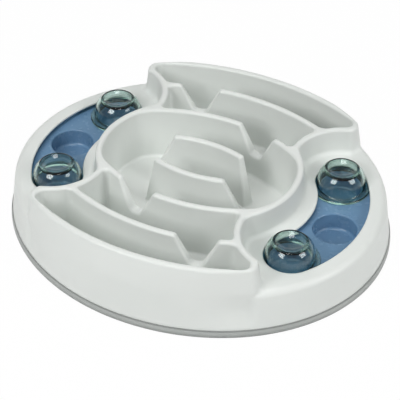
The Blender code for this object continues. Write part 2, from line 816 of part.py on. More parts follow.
def build():
    """Make every piece."""
    for obj in list(bpy.data.objects):
        bpy.data.objects.remove(obj)
    white = finish_material("white_plastic", (0.70, 0.73, 0.70), 0.4)
    grey = finish_material("grey_rubber", (0.29, 0.31, 0.29), 0.7)
    blue = finish_material("blue_plastic", (0.14, 0.27, 0.46), 0.35)
    teal = finish_material("clear_teal", (0.45, 0.68, 0.64), 0.05, see_through=0.9)
    steel = finish_material("plated_steel", (0.60, 0.60, 0.62), 0.35, metallic=1.0)

    dress(make_shell(), white)
    dress(make_ring(), grey)
    tray = make_tray("tray_right")
    dress(tray, blue)
    dress(half_turn_copy(tray, "tray_left"), blue)
    for right, left, end in (("front", "back", -1), ("back", "front", 1)):
        cover = make_cover("cover_right_" + right, end)
        dress(cover, teal)
        turned_cover = half_turn_copy(cover, "cover_left_" + left)
        pivot_at(cover, TRACK_CENTRE)
        pivot_at(turned_cover, -TRACK_CENTRE)
    for index, place in enumerate(screw_places(), 1):
        screw = make_screw(f"tray_screw_right_{index}", place)
        dress(screw, steel)
        half_turn_copy(screw, f"tray_screw_left_{index}")


build()
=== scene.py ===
"""Looks of the dog puzzle feeder: finer pieces, materials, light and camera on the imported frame.

The shell and the trays are drawn as distance fields, so that every moulded edge and foot is
truly rounded. The field is negative inside the solid, and its lengths are millimetres.
"""

import math

import bmesh
import bpy
import numpy as np
from mathutils import Matrix, Vector


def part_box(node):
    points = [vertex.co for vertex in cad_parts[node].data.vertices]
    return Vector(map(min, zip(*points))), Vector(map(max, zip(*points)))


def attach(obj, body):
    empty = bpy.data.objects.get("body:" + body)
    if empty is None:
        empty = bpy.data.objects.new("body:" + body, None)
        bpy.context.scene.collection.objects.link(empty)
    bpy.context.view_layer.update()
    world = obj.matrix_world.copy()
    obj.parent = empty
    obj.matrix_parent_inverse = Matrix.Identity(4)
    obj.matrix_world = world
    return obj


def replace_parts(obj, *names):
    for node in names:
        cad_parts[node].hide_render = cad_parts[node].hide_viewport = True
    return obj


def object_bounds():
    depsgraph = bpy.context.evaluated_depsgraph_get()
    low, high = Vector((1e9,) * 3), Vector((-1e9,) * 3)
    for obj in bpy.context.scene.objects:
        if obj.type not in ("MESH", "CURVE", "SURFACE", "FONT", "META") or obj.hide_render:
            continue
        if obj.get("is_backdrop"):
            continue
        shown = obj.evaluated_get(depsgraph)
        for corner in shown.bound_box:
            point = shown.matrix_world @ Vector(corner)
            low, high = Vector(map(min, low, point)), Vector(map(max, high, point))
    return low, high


MM = 0.001

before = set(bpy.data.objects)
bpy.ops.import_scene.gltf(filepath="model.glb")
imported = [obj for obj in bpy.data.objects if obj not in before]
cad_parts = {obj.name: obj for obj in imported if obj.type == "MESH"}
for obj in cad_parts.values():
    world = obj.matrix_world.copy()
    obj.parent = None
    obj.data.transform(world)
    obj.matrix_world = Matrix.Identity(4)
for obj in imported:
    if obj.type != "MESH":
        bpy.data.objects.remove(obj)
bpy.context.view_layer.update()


def place_of(node):
    """Middle of a node in plan, its underside and its top, in millimetres."""
    low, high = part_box(node)
    middle = (low + high) / 2
    return middle.x / MM, middle.y / MM, low.z / MM, high.z / MM


# Sizes of the shell, in millimetres
RIM = place_of("bowl_shell")[3]
SKIRT_FOOT = place_of("bowl_shell")[2]
SKIRT_A, SKIRT_B, SKIRT_SLOPE = 199.2, 173.7, 0.14
SKIRT_PLAIN, SKIRT_BEND = 6.0, 60.0
DECK, DECK_EDGE = 48.4, 6.0
FLOOR = 19.0
SKIN = 2.8
CORE_TOP = 54.0
WALL = 6.4
WALL_ROUND = 2.7
WALL_DRAFT, END_DRAFT = 0.06, 0.12
FLOOR_ROUND = 3.0
FOOT_ROUND, FOOT_FADE = 5.0, 5.0
ARM_BLEND = 13.0
FIT_GAP = 0.3

# Plan of the maze
RIM_CENTRE, RIM_RADIUS = 108.9, 268.1
RIM_SLIDE, RIM_SWELL = -2.155, -1.875
ARM_RADIUS = 224.6
BOWL_CENTRE, BOWL_RADIUS = 99.1, 169.5
BOWL_CORNER = 28.0
LOBE_CENTRE, LOBE_RADIUS = 24.0, 79.5
RECESS_X, RECESS_Y, RECESS_RADIUS = 132.0, 61.9, 50.0
NOSE_SETBACK, NOSE_LEAN = 29.7, math.radians(21)
NOSE_ROUND, NOSE_INNER_ROUND, NECK_ROUND = 9.0, 6.0, 15.0
TIP_ROUND, JUNCTION_ROUND, CHANNEL_ROUND = 8.0, 12.0, 5.0
NOTCH_HALF, NOTCH_DEPTH, NOTCH_SLOPE, NOTCH_ROUND = 21.2, 32.0, 0.5, 6.0
NOTCH_EDGE, NOTCH_REACH = 2.6, 12.0
GATE_OFFSET, GAP_OFFSET = -34.1, 54.0
ISLAND_CENTRE, ISLAND_RADIUS, ISLAND_HALF = 91.3, 118.0, 38.0
ISLAND_RAMP, ISLAND_STEEP, ISLAND_FOOT = 0.45, 0.2, 1.5

# Angles between the normals of faces that meet, in degrees
SKIRT_TURN, NOSE_TURN, RECESS_TURN, NECK_TURN = 7.7, 84.0, 51.0, 46.0
BOWL_TURN, TIP_TURN, JUNCTION_TURN = 34.0, 135.0, 62.0
CHANNEL_OUTER_TURN, CHANNEL_INNER_TURN = 99.0, 112.0
NOTCH_TURN = 63.4

# Tracks and trays
TRACK_CENTRE, TRACK_RADIUS = 44.8, 105.0
WELL_SPACING = 66.2
TRACK_PITCH = WELL_SPACING / TRACK_RADIUS
SLOT_HALF, SLOT_ROUND = 26.0, 1.0
TRAY_TOP, TRAY_RIM = 41.0, 43.8
TRAY_SKIN = 2.5
TRACK_HALF, TRAY_HALF, BED_ROUND = 30.1, 32.6, 1.0
WELL_RADIUS, WELL_DEPTH, WELL_DRAFT = 22.0, 18.5, 0.04
WELL_LIP, WELL_FLOOR_ROUND = 1.6, 3.0
CUP_SINK, CUP_FILLET = 1.0, 1.0
EAR_RADIUS, EAR_REACH = 4.2, 36.1
BOSS_RADIUS, BOSS_ROOT = 3.2, 0.7

# Covers and ring
COVER_RADIUS, COVER_SKIN = 24.2, 2.0
COVER_CROWN, DOME_HEIGHT = 2.0, 19.6
FLANGE_RADIUS, FLANGE_HEIGHT = 29.5, 2.6
FLANGE_FILLET, FLANGE_EDGE, FLANGE_FOOT, INNER_FOOT = 2.4, 1.2, 0.6, 0.5
DISH_RADIUS, DISH_DEPTH = 14.8, 5.2
DISH_STEPS, UNDER_REACH = (0.0, 3.0, 6.0, 8.5, 10.5, 12.0, 13.2), 12.1
LIP_RADIUS, INNER_LIP, LIP_ROUND = 17.4, 17.1, 1.6
RING_PROUD, RING_TOP, RING_TOE = 0.45, 9.4, 4.0
BEAD_BELOW, BEAD_ABOVE, BEAD_TURN = (2.4, 3.2), (3.6, 6.0), math.radians(44)
BAND_PROUD, RING_EDGE = 0.5, 0.3

# Fineness of the meshes
SHELL_STEP, SHELL_KEEP = 1.25, 0.2
TRAY_STEP, TRAY_KEEP = 0.9, 0.3
COVER_STEPS, DOME_STEPS, INNER_STEPS = 72, 14, 12
RING_STEPS, BEAD_STEPS = 240, 8
SHARP_ANGLE = math.radians(40)
MARGIN = 2.0


# Fields


def round_both(a, b, radius, turn=90.0):
    """What two solids share, with the edge between two faces rounded over.

    The turn is the angle between the two faces' normals, in degrees.
    """
    lean = math.cos(math.radians(turn))
    a, b = a + radius, b + radius
    corner = np.sqrt(np.maximum(a * a + b * b - 2 * lean * a * b, 0) / (1 - lean ** 2))
    at_corner = (a > lean * b) & (b > lean * a) & (np.maximum(a, b) > 0)
    return np.where(at_corner, corner, np.maximum(a, b)) - radius


def round_union(a, b, radius, turn=90.0):
    """Two solids joined by a hollow fillet."""
    return -round_both(-a, -b, radius, turn)


def smooth_step(value, low, high):
    """Nought below the low value, one above the high one, and an easy curve between."""
    t = np.clip((value - low) / (high - low), 0, 1)
    return t * t * (3 - 2 * t)


def ellipse_field(x, y, a, b):
    """Near an ellipse, the distance outside it."""
    reach = np.hypot(x / a, y / b)
    return reach * (reach - 1) / np.maximum(np.hypot(x / a ** 2, y / b ** 2), 1e-6)


def track_distance(x, y):
    """Distance from the middle line of the right or the left track."""
    dx = np.abs(x) - TRACK_CENTRE
    angle = np.clip(np.arctan2(y, dx), -TRACK_PITCH, TRACK_PITCH)
    return np.hypot(dx - TRACK_RADIUS * np.cos(angle), y - TRACK_RADIUS * np.sin(angle))


def notch_field(turned_x, far_y, drop, centre, radius, offset):
    """A V-shaped gateway through a curved wall."""
    along = radius * (np.arctan2(turned_x, far_y + centre) - math.asin(offset / radius))
    across = np.hypot(turned_x, far_y + centre) - radius
    side = (np.abs(along) - NOTCH_HALF + NOTCH_SLOPE * drop) / math.hypot(1, NOTCH_SLOPE)
    gate = round_both(side, drop - NOTCH_DEPTH, NOTCH_ROUND, NOTCH_TURN)
    return np.maximum(gate, np.abs(across) - NOTCH_REACH)


def island_field(turned_x, far_y, drop):
    """A short curved wall on the bowl's floor, with one ramped end and one steep one."""
    along = ISLAND_RADIUS * np.arctan2(turned_x, far_y + ISLAND_CENTRE)
    across = np.hypot(turned_x, far_y + ISLAND_CENTRE) - ISLAND_RADIUS
    half = ISLAND_RADIUS * math.asin(ISLAND_HALF / ISLAND_RADIUS)
    ramp = (along - half - ISLAND_RAMP * drop) / math.hypot(1, ISLAND_RAMP)
    steep = (-along - half - ISLAND_STEEP * drop) / math.hypot(1, ISLAND_STEEP)
    side = np.abs(across) - WALL / 2 - WALL_DRAFT * drop
    return round_both(round_both(side, np.maximum(ramp, steep), WALL_ROUND), -drop, WALL_ROUND)


def block_field(x, y, drop, skirt):
    """The raised block, its outer face, which runs down into the skirt, and its ends."""
    far_x, far_y = np.abs(x), np.abs(y)
    fall = np.minimum(drop, RIM - DECK)
    rim = np.hypot(x, far_y + RIM_CENTRE + RIM_SLIDE * drop) - RIM_RADIUS - RIM_SWELL * drop
    rim = round_both(rim, skirt, SKIRT_BEND, SKIRT_TURN)
    reach = np.hypot(np.minimum(far_x - RECESS_X, 0), np.maximum(far_y - RECESS_Y, 0))
    recess = RECESS_RADIUS - END_DRAFT * fall - reach
    nose = math.cos(NOSE_LEAN) * (far_x - RECESS_X) - math.sin(NOSE_LEAN) * (far_y - RECESS_Y)
    nose = nose + NOSE_SETBACK - END_DRAFT * fall
    arms = round_both(rim, nose, NOSE_ROUND, NOSE_TURN)
    arms = round_both(arms, recess, NOSE_INNER_ROUND, RECESS_TURN)
    lobe = np.hypot(np.maximum(far_x - LOBE_CENTRE, 0), y) - LOBE_RADIUS - WALL / 2 - END_DRAFT * fall
    return round_union(arms, lobe, NECK_ROUND, NECK_TURN), rim, np.maximum(nose, recess)


def pocket_field(x, y):
    """The bowl and the four channels, at the level of the rim."""
    far_x, far_y = np.abs(x), np.abs(y)
    over = np.hypot(x, far_y + RIM_CENTRE)
    bowl_over = np.hypot(x, far_y + BOWL_CENTRE)
    reach = np.hypot(np.minimum(far_x - RECESS_X, 0), np.maximum(far_y - RECESS_Y, 0))
    end = RECESS_RADIUS + WALL - reach
    half = WALL / 2
    lobe = np.hypot(np.maximum(far_x - LOBE_CENTRE, 0), y) - LOBE_RADIUS + half
    bowl = round_both(lobe, bowl_over - BOWL_RADIUS + half, BOWL_CORNER, BOWL_TURN)
    outer = np.maximum(round_both(over - RIM_RADIUS + WALL, end, TIP_ROUND, TIP_TURN),
                       round_both(ARM_RADIUS + half - over, end, JUNCTION_ROUND, JUNCTION_TURN))
    middle = np.maximum(
        round_both(over - ARM_RADIUS + half, end, CHANNEL_ROUND, CHANNEL_OUTER_TURN),
        round_both(BOWL_RADIUS + half - bowl_over, end, CHANNEL_ROUND, CHANNEL_INNER_TURN))
    return np.minimum(bowl, np.minimum(outer, middle))


def ear_places():
    """Where the right-hand tray is screwed to the deck, on the back half."""
    for reach in (TRACK_RADIUS - EAR_REACH, TRACK_RADIUS + EAR_REACH):
        yield TRACK_CENTRE + reach * math.cos(TRACK_PITCH / 2), reach * math.sin(TRACK_PITCH / 2)


def boss_field(far_x, far_y, z):
    """Posts under the deck for the trays' screws."""
    height = np.maximum(TRAY_TOP + FIT_GAP - z, z - DECK + BOSS_ROOT * SKIN)
    places = [np.hypot(far_x - ex, far_y - ey) for ex, ey in ear_places()]
    return np.maximum(np.minimum(*places) - BOSS_RADIUS, height)


def shell_field(x, y, z):
    """The moulded shell, hollow from below."""
    drop = RIM - z
    far_y = np.abs(y)
    turned_x = np.where(y < 0, x, -x)
    skirt = ellipse_field(x, y, SKIRT_A - SKIRT_SLOPE * z, SKIRT_B - SKIRT_SLOPE * z)
    block, rim, ends = block_field(x, y, drop, skirt)
    under_arm = smooth_step(-ends, 0, ARM_BLEND)
    side = skirt + (rim - skirt) * under_arm * smooth_step(z, SKIRT_PLAIN, DECK)
    base = round_both(side, z - DECK, DECK_EDGE * (1 - under_arm))
    pocket = pocket_field(x, y) + WALL_DRAFT * drop
    cavity = round_both(pocket, FLOOR - z, FLOOR_ROUND)
    gates = np.minimum(notch_field(turned_x, far_y, drop, BOWL_CENTRE, BOWL_RADIUS, GATE_OFFSET),
                       notch_field(turned_x, far_y, drop, RIM_CENTRE, ARM_RADIUS, GAP_OFFSET))
    island = island_field(turned_x, far_y, drop)
    foot = FOOT_ROUND * smooth_step(-rim, 0, FOOT_FADE)
    solid = round_union(base, round_both(block, -drop, WALL_ROUND), foot)
    solid = round_both(solid, -cavity, WALL_ROUND)
    solid = round_both(solid, -gates, NOTCH_EDGE)
    solid = round_union(solid, island, ISLAND_FOOT)
    plain = np.maximum(np.minimum(base, np.maximum(block, -drop)), -np.minimum(cavity, gates))
    plain = np.minimum(plain, island)
    solid = np.maximum(solid, -np.maximum(plain + SKIN, z - CORE_TOP))
    slot = np.maximum(track_distance(x, y) - SLOT_HALF, DECK - 2 * SKIN - z)
    solid = round_both(solid, -slot, SLOT_ROUND)
    solid = np.minimum(solid, boss_field(np.abs(x), far_y, z))
    return np.maximum(solid, SKIRT_FOOT - z)


# Meshes from fields


def field_slope(field, points):
    """The field and its slope at many points."""
    tiny = 0.02
    slope = np.empty_like(points)
    for axis in range(3):
        ahead, behind = points.copy(), points.copy()
        ahead[:, axis] += tiny
        behind[:, axis] -= tiny
        slope[:, axis] = (field(*ahead.T) - field(*behind.T)) / (2 * tiny)
    return field(*points.T), slope


def cell_points(field, low, high, step):
    """One point in each cell that a field's surface passes through, and the quads between them."""
    axes = [np.arange(a, b + step, step) for a, b in zip(low, high)]
    values = field(axes[0][:, None, None], axes[1][None, :, None], axes[2][None, None, :])
    inside = values < 0
    cells = tuple(n - 1 for n in values.shape)
    count = np.zeros(cells, np.int8)
    corners = [(i, j, k) for i in (0, 1) for j in (0, 1) for k in (0, 1)]
    for i, j, k in corners:
        count += inside[i:i + cells[0], j:j + cells[1], k:k + cells[2]]
    mixed = (count > 0) & (count < 8)
    where = np.argwhere(mixed)
    total, crossed = np.zeros(where.shape), np.zeros(len(where))
    for corner in corners:
        for axis in range(3):
            if corner[axis]:
                continue
            start = where + corner
            end = start + np.eye(3, dtype=int)[axis]
            a, b = values[tuple(start.T)], values[tuple(end.T)]
            cut = (a < 0) != (b < 0)
            share = np.where(cut, a / np.where(cut, a - b, 1), 0)
            total[cut] += start[cut]
            total[cut, axis] += share[cut]
            crossed += cut
    points = np.array(low) + step * total / crossed[:, None]
    index = np.full(cells, -1, np.int64)
    index[mixed] = np.arange(len(where))
    quads = []
    for axis in range(3):
        u, v = (axis + 1) % 3, (axis + 2) % 3
        first = np.moveaxis(inside, (axis, u, v), (0, 1, 2))
        lookup = np.moveaxis(index, (axis, u, v), (0, 1, 2))
        change = first[:-1, 1:-1, 1:-1] != first[1:, 1:-1, 1:-1]
        i, j, k = np.nonzero(change)
        ring = np.stack([lookup[i, j, k], lookup[i, j + 1, k],
                         lookup[i, j + 1, k + 1], lookup[i, j, k + 1]], axis=1)
        outward = first[:-1, 1:-1, 1:-1][change]
        quads.append(np.where(outward[:, None], ring, ring[:, ::-1]))
    return points, np.concatenate(quads)


def mesh_object(name, mesh):
    """A mesh put into the scene."""
    obj = bpy.data.objects.new(name, mesh)
    bpy.context.scene.collection.objects.link(obj)
    return obj


def field_object(name, field, low, high, step, keep):
    """A smooth mesh on a field's surface, thinned where it is flat."""
    points, quads = cell_points(field, low, high, step)
    mesh = bpy.data.meshes.new(name)
    mesh.vertices.add(len(points))
    mesh.vertices.foreach_set("co", (points * MM).ravel())
    mesh.loops.add(quads.size)
    mesh.loops.foreach_set("vertex_index", quads.ravel())
    mesh.polygons.add(len(quads))
    mesh.polygons.foreach_set("loop_start", np.arange(0, quads.size, 4))
    mesh.update(calc_edges=True)
    obj = mesh_object(name, mesh)
    thin = obj.modifiers.new("thin", "DECIMATE")
    thin.ratio = keep
    graph = bpy.context.evaluated_depsgraph_get()
    fine = bpy.data.meshes.new_from_object(obj.evaluated_get(graph))
    obj.modifiers.clear()
    obj.data = fine
    bpy.data.meshes.remove(mesh)
    fine.name = name
    settle(fine, field, step)
    return obj


def settle(mesh, field, step):
    """Move a mesh's points onto the field's surface and take its normals from the slope."""
    flat = np.empty(len(mesh.vertices) * 3)
    mesh.vertices.foreach_get("co", flat)
    points = flat.reshape(-1, 3) / MM
    rounds, least, most = 3, 0.05, step / 4
    for _ in range(rounds):
        value, slope = field_slope(field, points)
        size = np.maximum((slope ** 2).sum(1), least)
        move = np.clip(value / size, -most, most)
        points -= move[:, None] * slope
    mesh.vertices.foreach_set("co", (points * MM).ravel())
    mesh.update()
    mesh.shade_smooth()
    _value, slope = field_slope(field, points)
    normals = slope / np.maximum(np.linalg.norm(slope, axis=1), 1e-6)[:, None]
    mesh.normals_split_custom_set_from_vertices(normals)


# Meshes from sections


def rounded_path(corners, turns=6):
    """Points along a line whose corners (radius out, height, rounding) are rounded over."""
    path = []
    for i, (r, z, rounding) in enumerate(corners):
        here = Vector((r, z))
        if not rounding:
            path.append((r, z))
            continue
        back = (Vector(corners[i - 1][:2]) - here).normalized()
        ahead = (Vector(corners[(i + 1) % len(corners)][:2]) - here).normalized()
        half = back.angle(ahead) / 2
        reach = rounding / math.tan(half)
        middle = here + (back + ahead).normalized() * rounding / math.sin(half)
        start = here + back * reach - middle
        end = here + ahead * reach - middle
        sweep = start.angle_signed(end)
        for k in range(turns + 1):
            turn = -sweep * k / turns
            c, s = math.cos(turn), math.sin(turn)
            path.append((middle.x + start.x * c - start.y * s, middle.y + start.x * s + start.y * c))
    return path


def skin_rings(name, rings, closed):
    """Quads between rings of points; a ring of one point closes an end."""
    bm = bmesh.new()
    loops = [[bm.verts.new(Vector(p) * MM) for p in ring] for ring in rings]
    pairs = list(zip(loops, loops[1:]))
    if closed:
        pairs.append((loops[-1], loops[0]))
    for a, b in pairs:
        steps = max(len(a), len(b))
        for k in range(steps):
            n = (k + 1) % steps
            corners = [a[k % len(a)], a[n % len(a)], b[n % len(b)], b[k % len(b)]]
            bm.faces.new(list(dict.fromkeys(corners)))
    bmesh.ops.recalc_face_normals(bm, faces=bm.faces)
    mesh = bpy.data.meshes.new(name)
    bm.to_mesh(mesh)
    bm.free()
    mesh.shade_smooth()
    mesh.set_sharp_from_angle(angle=SHARP_ANGLE)
    return mesh_object(name, mesh)


def turned_object(name, path, place, steps):
    """A solid of revolution; its path starts and ends on the axis."""
    rings = []
    for r, z in path:
        angles = [2 * math.pi * k / steps for k in range(steps)] if r > 1e-6 else [0.0]
        rings.append([(place[0] + r * math.cos(t), place[1] + r * math.sin(t), z) for t in angles])
    return skin_rings(name, rings, closed=False)


# Pieces


def half_turn(obj, name):
    """The same piece turned half a turn about the middle of the object."""
    mesh = obj.data.copy()
    mesh.transform(Matrix.Rotation(math.pi, 4, "Z"))
    return mesh_object(name, mesh)


def tray_field(x, y, z):
    """The right-hand tray: a walled track floor with three cups."""
    track = track_distance(x, y)
    body = np.maximum(track - TRAY_HALF, np.maximum(z - TRAY_RIM, TRAY_TOP - TRAY_SKIN - z))
    wells = np.full(np.broadcast_shapes(x.shape, y.shape), np.inf)
    for k in (-1, 0, 1):
        cx = TRACK_CENTRE + TRACK_RADIUS * math.cos(k * TRACK_PITCH)
        cy = TRACK_RADIUS * math.sin(k * TRACK_PITCH)
        wells = np.minimum(wells, np.hypot(x - cx, y - cy))
    inside = wells - WELL_RADIUS + WELL_DRAFT * (TRAY_TOP - z)
    under = TRAY_TOP - WELL_DEPTH - TRAY_SKIN
    cup = np.maximum(inside - TRAY_SKIN, np.maximum(z - TRAY_TOP + CUP_SINK, under - z))
    body = round_union(body, cup, CUP_FILLET)
    track_space = round_both(track - TRACK_HALF, TRAY_TOP - z, BED_ROUND)
    body = np.maximum(body, -track_space)
    well = round_both(inside, TRAY_TOP - WELL_DEPTH - z, WELL_FLOOR_ROUND)
    body = round_both(body, -well, WELL_LIP)
    for ex, ey in ear_places():
        ear = np.hypot(x - ex, np.abs(y) - ey) - EAR_RADIUS
        ear = np.maximum(ear, np.maximum(z - TRAY_TOP + FIT_GAP, TRAY_TOP - TRAY_SKIN - z))
        body = np.minimum(body, ear)
    return body


def make_ring(name):
    """The soft ring round the foot: a rounded bead, with a narrow band above it against the skirt."""
    ledge = SKIRT_FOOT - FIT_GAP
    inner = -SKIN - RING_TOE
    top, bottom = -SKIRT_SLOPE * RING_TOP, -SKIRT_SLOPE * ledge
    widest = BEAD_BELOW[1]
    bead = [(RING_PROUD - BEAD_BELOW[0], 0.0, 0)]
    for (depth, height), first, last in ((BEAD_BELOW, -math.pi / 2, 0.0), (BEAD_ABOVE, 0.0, BEAD_TURN)):
        for k in range(BEAD_STEPS):
            turn = first + (last - first) * (k + 1) / BEAD_STEPS
            out = RING_PROUD + depth * (math.cos(turn) - 1)
            bead.append((out, widest + height * math.sin(turn), 0))
    band = [(top + BAND_PROUD, RING_TOP, 0), (top + FIT_GAP, RING_TOP, 0), (bottom + FIT_GAP, ledge, 0)]
    back = [(inner, ledge, RING_EDGE), (inner, 0.0, RING_EDGE)]
    section = rounded_path(bead + band + back)
    rings = []
    for out, z in section:
        angles = [2 * math.pi * k / RING_STEPS for k in range(RING_STEPS)]
        rings.append([((SKIRT_A + out) * math.cos(t), (SKIRT_B + out) * math.sin(t), z) for t in angles])
    return skin_rings(name, rings, closed=True)


def dome_path(reach, height, centre, low, high, steps):
    """Points down a dome's outline, from one radius out to another, and its height at each."""
    first, last = math.asin(low / reach), math.asin(high / reach)
    turns = [first + (last - first) * k / steps for k in range(steps + 1)]
    return [(reach * math.sin(t), centre + height * math.cos(t), 0) for t in turns]


def make_cover(node):
    """A clear domed cover with a dished top and a thin flange, turned from its section."""
    x, y, base, top = place_of(node)
    top = top + COVER_CROWN
    flange = base + FLANGE_HEIGHT
    body, skin = COVER_RADIUS, COVER_SKIN
    hollow = (DISH_RADIUS ** 2 + DISH_DEPTH ** 2) / (2 * DISH_DEPTH)
    middle = top - DISH_DEPTH + hollow
    dish = [(r, middle - math.sqrt(hollow ** 2 - r ** 2), 0) for r in DISH_STEPS]
    below = [r for r in reversed(DISH_STEPS) if r < UNDER_REACH]
    under = [(r, middle - math.sqrt((hollow + skin) ** 2 - r ** 2), 0) for r in below]
    centre = top - DOME_HEIGHT * math.sqrt(1 - (LIP_RADIUS / body) ** 2)
    outside = dome_path(body, DOME_HEIGHT, centre, LIP_RADIUS, body, DOME_STEPS)
    inside = dome_path(body - skin, DOME_HEIGHT - skin, centre, INNER_LIP, body - skin, INNER_STEPS)
    lip = [(DISH_RADIUS, top, LIP_ROUND), (LIP_RADIUS, top, LIP_ROUND)]
    foot = [(body, flange, FLANGE_FILLET), (FLANGE_RADIUS, flange, FLANGE_EDGE),
            (FLANGE_RADIUS, base, FLANGE_FOOT), (body - skin, base, INNER_FOOT)]
    path = rounded_path(dish + lip + outside[1:] + foot + inside[::-1] + under)
    return turned_object(node + "_clear", path, (x, y), COVER_STEPS)


# Materials

NOISE_LOW, NOISE_HIGH = 0.3, 0.7
CLOUD_SCALE, SHEEN_SCALE = 18.0, 140.0
SHEEN_LOW, SHEEN_HIGH = 0.9, 1.12
GRAIN_STRENGTH, GRAIN_DETAIL = 0.6, 2.0
PLASTIC_IOR, CLEAR_IOR = 1.49, 1.5
CLEAR_CLOUD_SCALE, HAZE_SCALE, HAZE_MOST = 60.0, 400.0, 0.012
METAL_SCALE, METAL_LOW, METAL_HIGH = 500.0, 0.28, 0.42
PAPER_SCALE, PAPER_SHADE = 3.0, 0.98


def new_material(name):
    """An empty node material with its main shader, and a coordinate in metres over the object."""
    mat = bpy.data.materials.new(name)
    mat.use_nodes = True
    nodes = mat.node_tree.nodes
    shader = nodes["Principled BSDF"]
    place = nodes.new("ShaderNodeTexCoord").outputs["Object"]
    return mat, nodes, mat.node_tree.links.new, shader, place


def noise(nodes, link, place, scale, detail=3.0):
    """Fractal noise from nought to one over the object."""
    node = nodes.new("ShaderNodeTexNoise")
    node.inputs["Scale"].default_value = scale
    node.inputs["Detail"].default_value = detail
    link(place, node.inputs["Vector"])
    return node.outputs["Fac"]


def spread(nodes, link, value, low, high):
    """A noise value moved to the range from low to high."""
    node = nodes.new("ShaderNodeMapRange")
    node.inputs["From Min"].default_value = NOISE_LOW
    node.inputs["From Max"].default_value = NOISE_HIGH
    node.inputs["To Min"].default_value = low
    node.inputs["To Max"].default_value = high
    link(value, node.inputs["Value"])
    return node.outputs["Result"]


def blend(nodes, link, value, first, second):
    """A colour between two, by a value."""
    node = nodes.new("ShaderNodeMix")
    node.data_type = "RGBA"
    node.inputs["A"].default_value = (*first, 1)
    node.inputs["B"].default_value = (*second, 1)
    link(value, node.inputs["Factor"])
    return node.outputs["Result"]


def clouded(nodes, link, place, scale, colour, shade):
    """A colour with faint clouds of another."""
    clouds = noise(nodes, link, place, scale)
    return blend(nodes, link, spread(nodes, link, clouds, 0, 1), colour, shade)


def painted_shade_by_height(nodes, link, place, tone, colour, shares):
    """A colour that gives way to another, a painted shade, by its share at some heights."""
    top = shares[-1][0]
    split = nodes.new("ShaderNodeSeparateXYZ")
    link(place, split.inputs["Vector"])
    rise = nodes.new("ShaderNodeMapRange")
    rise.inputs["From Max"].default_value = top * MM
    link(split.outputs["Z"], rise.inputs["Value"])
    ramp = nodes.new("ShaderNodeValToRGB")
    stops = ramp.color_ramp.elements
    while len(stops) < len(shares):
        stops.new(1.0)
    for stop, (height, share) in zip(stops, shares):
        stop.position = height / top
        stop.color = (share, share, share, 1)
    link(rise.outputs["Result"], ramp.inputs["Fac"])
    node = nodes.new("ShaderNodeMix")
    node.data_type = "RGBA"
    node.inputs["B"].default_value = (*colour, 1)
    link(tone, node.inputs["A"])
    link(ramp.outputs["Color"], node.inputs["Factor"])
    return node.outputs["Result"]


def grain_bump(nodes, link, height, depth):
    """Fine surface grain."""
    node = nodes.new("ShaderNodeBump")
    node.inputs["Strength"].default_value = GRAIN_STRENGTH
    node.inputs["Distance"].default_value = depth
    link(height, node.inputs["Height"])
    return node.outputs["Normal"]


def moulded_plastic(name, colour, shade, roughness, grain_scale, grain_depth, painted_shade=None):
    """Moulded plastic or rubber: faint clouding, an eroded grain and an uneven sheen.

    Painted shade is a colour and its share at some heights.
    """
    mat, nodes, link, shader, place = new_material(name)
    tone = clouded(nodes, link, place, CLOUD_SCALE, colour, shade)
    # Shade painted into the colour by height, where it is given.
    if painted_shade:
        tone = painted_shade_by_height(nodes, link, place, tone, *painted_shade)
    link(tone, shader.inputs["Base Color"])
    sheen = noise(nodes, link, place, SHEEN_SCALE)
    sheen = spread(nodes, link, sheen, SHEEN_LOW * roughness, SHEEN_HIGH * roughness)
    link(sheen, shader.inputs["Roughness"])
    grain = noise(nodes, link, place, grain_scale, GRAIN_DETAIL)
    link(grain_bump(nodes, link, grain, grain_depth), shader.inputs["Normal"])
    shader.inputs["IOR"].default_value = PLASTIC_IOR
    return mat


def clear_plastic(name, colour, shade, tint, density, shadow):
    """Tinted clear plastic, deeper where it is thick, that lets some lamplight through."""
    mat, nodes, link, shader, place = new_material(name)
    tone = clouded(nodes, link, place, CLEAR_CLOUD_SCALE, colour, shade)
    link(tone, shader.inputs["Base Color"])
    haze = noise(nodes, link, place, HAZE_SCALE)
    link(spread(nodes, link, haze, 0.0, HAZE_MOST), shader.inputs["Roughness"])
    shader.inputs["Transmission Weight"].default_value = 1.0
    shader.inputs["IOR"].default_value = CLEAR_IOR
    depth = nodes.new("ShaderNodeVolumeAbsorption")
    depth.inputs["Color"].default_value = (*tint, 1)
    depth.inputs["Density"].default_value = density
    link(depth.outputs["Volume"], nodes["Material Output"].inputs["Volume"])
    clear = nodes.new("ShaderNodeBsdfTransparent")
    clear.inputs["Color"].default_value = (*shadow, 1)
    path = nodes.new("ShaderNodeLightPath")
    mix = nodes.new("ShaderNodeMixShader")
    link(path.outputs["Is Shadow Ray"], mix.inputs["Fac"])
    link(shader.outputs["BSDF"], mix.inputs[1])
    link(clear.outputs["BSDF"], mix.inputs[2])
    link(mix.outputs["Shader"], nodes["Material Output"].inputs["Surface"])
    return mat


def plated_metal(name, colour, shade):
    """Plated steel with a worn sheen."""
    mat, nodes, link, shader, place = new_material(name)
    link(clouded(nodes, link, place, METAL_SCALE, colour, shade), shader.inputs["Base Color"])
    sheen = noise(nodes, link, place, METAL_SCALE)
    link(spread(nodes, link, sheen, METAL_LOW, METAL_HIGH), shader.inputs["Roughness"])
    shader.inputs["Metallic"].default_value = 1.0
    return mat


